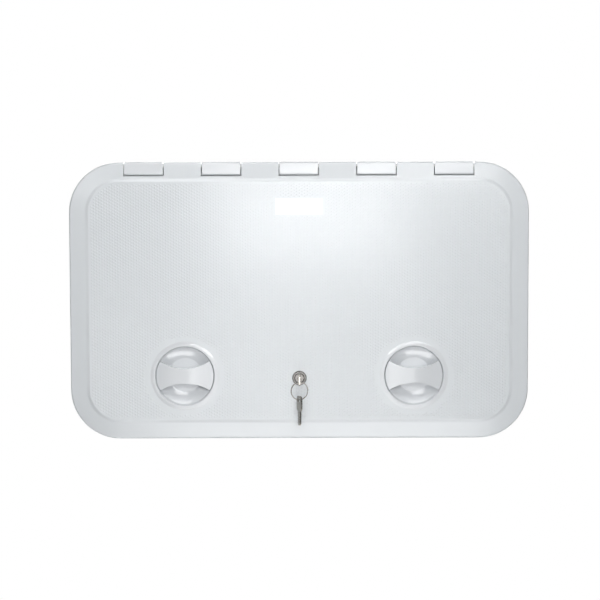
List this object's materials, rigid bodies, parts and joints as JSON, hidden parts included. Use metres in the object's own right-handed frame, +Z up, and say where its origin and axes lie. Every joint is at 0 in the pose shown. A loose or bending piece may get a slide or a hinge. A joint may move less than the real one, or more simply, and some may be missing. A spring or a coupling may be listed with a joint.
{
  "type": "access hatch",
  "caption": "Rectangular wall hatch with round corners, a top-hinged ribbed lid, two quarter-turn latches with bow-tie grips, and a keyed cam lock with a spare key on a ring.",
  "frame": {"origin": "centre of the wall cut-out, on the plane of the wall's outer skin, which is the back face of the frame's flange", "axes": "+X to the right as seen from outside, +Z up, -Y out of the wall towards the viewer"},
  "size_m": [0.6, 0.0749, 0.3624],
  "materials": {
    "frame_moulding": "satin",
    "lid_moulding": "satin",
    "knuckle_moulding": "satin",
    "latch_moulding": "gloss",
    "latch_nut_moulding": "satin",
    "seal_rubber": "matte",
    "stainless_steel": "satin",
    "zinc_plate": "satin",
    "chrome_plate": "polished",
    "key_nickel": "gloss"
  },
  "bodies": {
    "wall_frame": {"frame_flange": "frame_moulding", "collar_right": "frame_moulding", "collar_top": "frame_moulding", "collar_left": "frame_moulding", "collar_bottom": "frame_moulding", "collar_corners": "frame_moulding", "catch_strip": "frame_moulding", "hinge_rod": "stainless_steel", "lid_seal": "seal_rubber", "hinge_knuckle_1": "knuckle_moulding", "hinge_knuckle_2": "knuckle_moulding", "hinge_knuckle_3": "knuckle_moulding", "hinge_knuckle_4": "knuckle_moulding", "hinge_knuckle_5": "knuckle_moulding"},
    "hatch_lid": {"lid": "lid_moulding", "left_latch_dish": "latch_moulding", "right_latch_dish": "latch_moulding", "left_latch_retainer": "latch_nut_moulding", "right_latch_retainer": "latch_nut_moulding", "lock_barrel": "chrome_plate", "lock_nut": "zinc_plate"},
    "left_latch": {"left_latch_grip": "latch_moulding", "left_latch_cam": "stainless_steel", "left_latch_screw": "stainless_steel"},
    "right_latch": {"right_latch_grip": "latch_moulding", "right_latch_cam": "stainless_steel", "right_latch_screw": "stainless_steel"},
    "lock_core": {"lock_plug": "chrome_plate", "lock_cam": "zinc_plate", "lock_cam_nut": "zinc_plate", "key": "key_nickel"},
    "ring": {"key_ring": "key_nickel"},
    "hanging_key": {"spare_key": "key_nickel"}
  },
  "joints": [
    {"name": "lid_hinge", "type": "hinge", "parent": "wall_frame", "child": "hatch_lid", "pos_m": [0, -0.012, 0.176], "axis": [-1, 0, 0], "range_deg": [0, 165]},
    {"name": "left_latch_turn", "type": "hinge", "parent": "hatch_lid", "child": "left_latch", "pos_m": [-0.15, 0, -0.098], "axis": [0, 1, 0], "range_deg": [0, 90]},
    {"name": "right_latch_turn", "type": "hinge", "parent": "hatch_lid", "child": "right_latch", "pos_m": [0.15, 0, -0.098], "axis": [0, -1, 0], "range_deg": [0, 90]},
    {"name": "lock_turn", "type": "hinge", "parent": "hatch_lid", "child": "lock_core", "pos_m": [0, 0, -0.101], "axis": [0, 1, 0], "range_deg": [0, 90]},
    {"name": "ring_swing", "type": "hinge", "parent": "lock_core", "child": "ring", "pos_m": [0, -0.04, -0.10425], "axis": [-1, 0, 0], "range_deg": [-5, 60]},
    {"name": "spare_key_swing", "type": "hinge", "parent": "ring", "child": "hanging_key", "pos_m": [0, -0.04, -0.12695], "axis": [-1, 0, 0], "range_deg": [-5, 60]}
  ]
}
